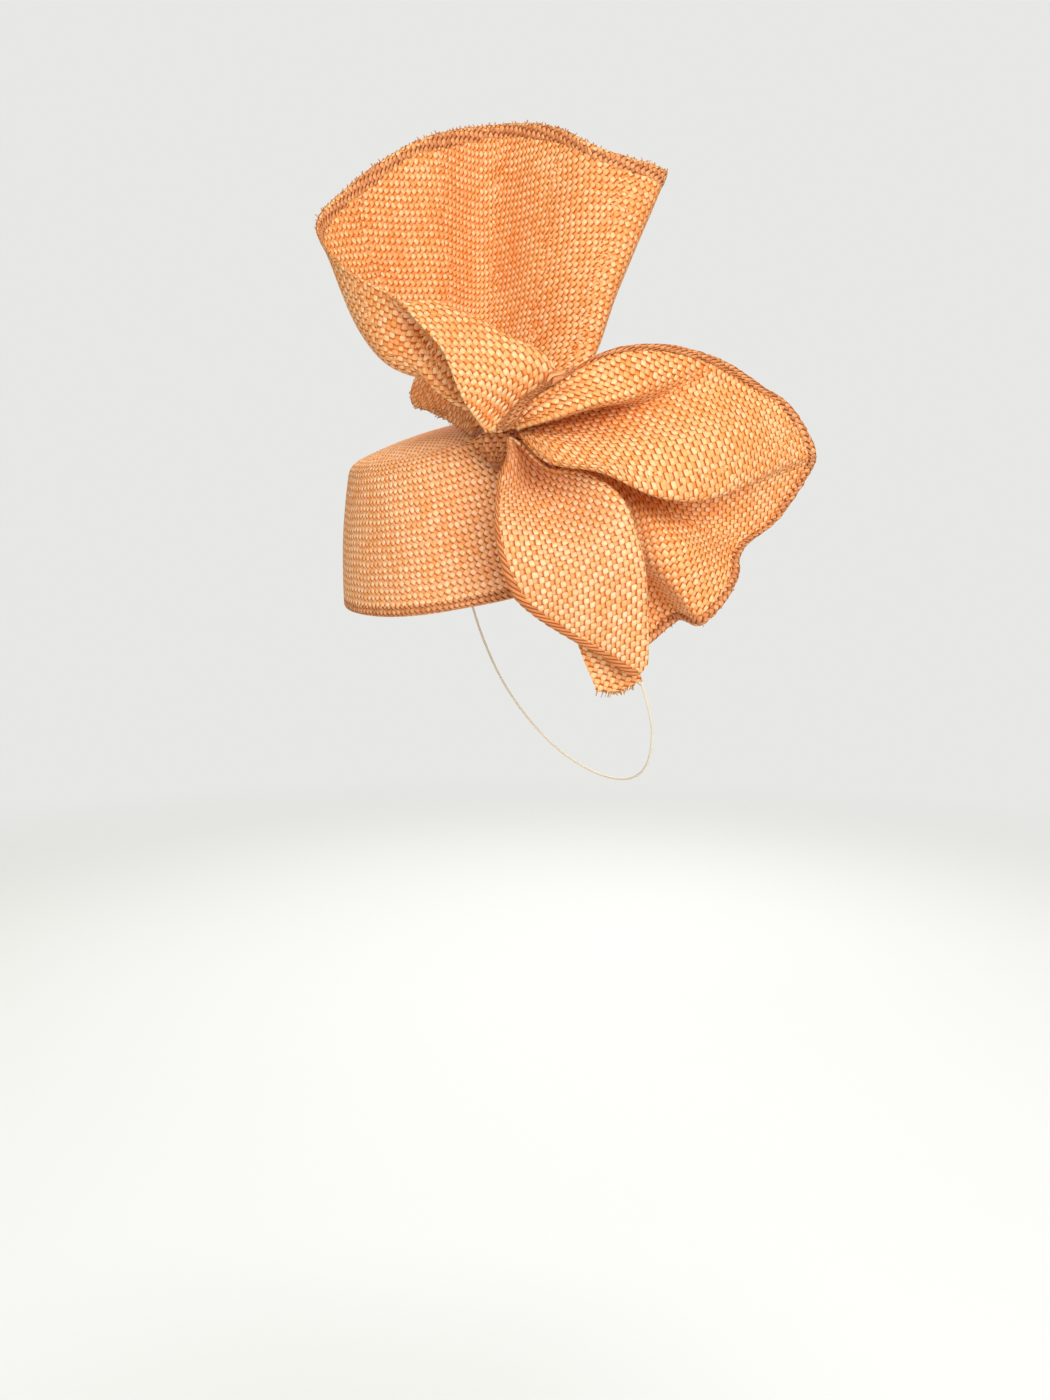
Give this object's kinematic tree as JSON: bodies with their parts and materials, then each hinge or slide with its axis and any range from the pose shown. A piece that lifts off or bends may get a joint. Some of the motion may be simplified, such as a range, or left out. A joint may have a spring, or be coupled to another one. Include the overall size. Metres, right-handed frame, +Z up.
{
  "type": "straw fascinator",
  "caption": "Tilted straw pillbox cap with a sculpted bow of woven straw cloth, one tall cone, a pleated side ruffle and a hanging leaf, held by a thin hat elastic.",
  "frame": {"origin": "centre of the cap's rim opening, where the cap sits on the head", "axes": "+Z up as worn, the wearer faces -Y, and the bow is on the wearer's left side, +X"},
  "size_m": [0.2232, 0.2033, 0.337],
  "materials": {
    "straw_cloth": "flat glossy apricot straw in a fine plain weave",
    "gathered_straw": "the same straw cloth, pleated and pulled tight",
    "hat_elastic": "matt cream braid"
  },
  "bodies": {
    "root": {"crown": "straw_cloth", "upper_fan": "straw_cloth", "side_ruffle": "straw_cloth", "front_leaf": "straw_cloth", "tail_end": "straw_cloth", "knot": "gathered_straw", "elastic": "hat_elastic"}
  },
  "joints": []
}
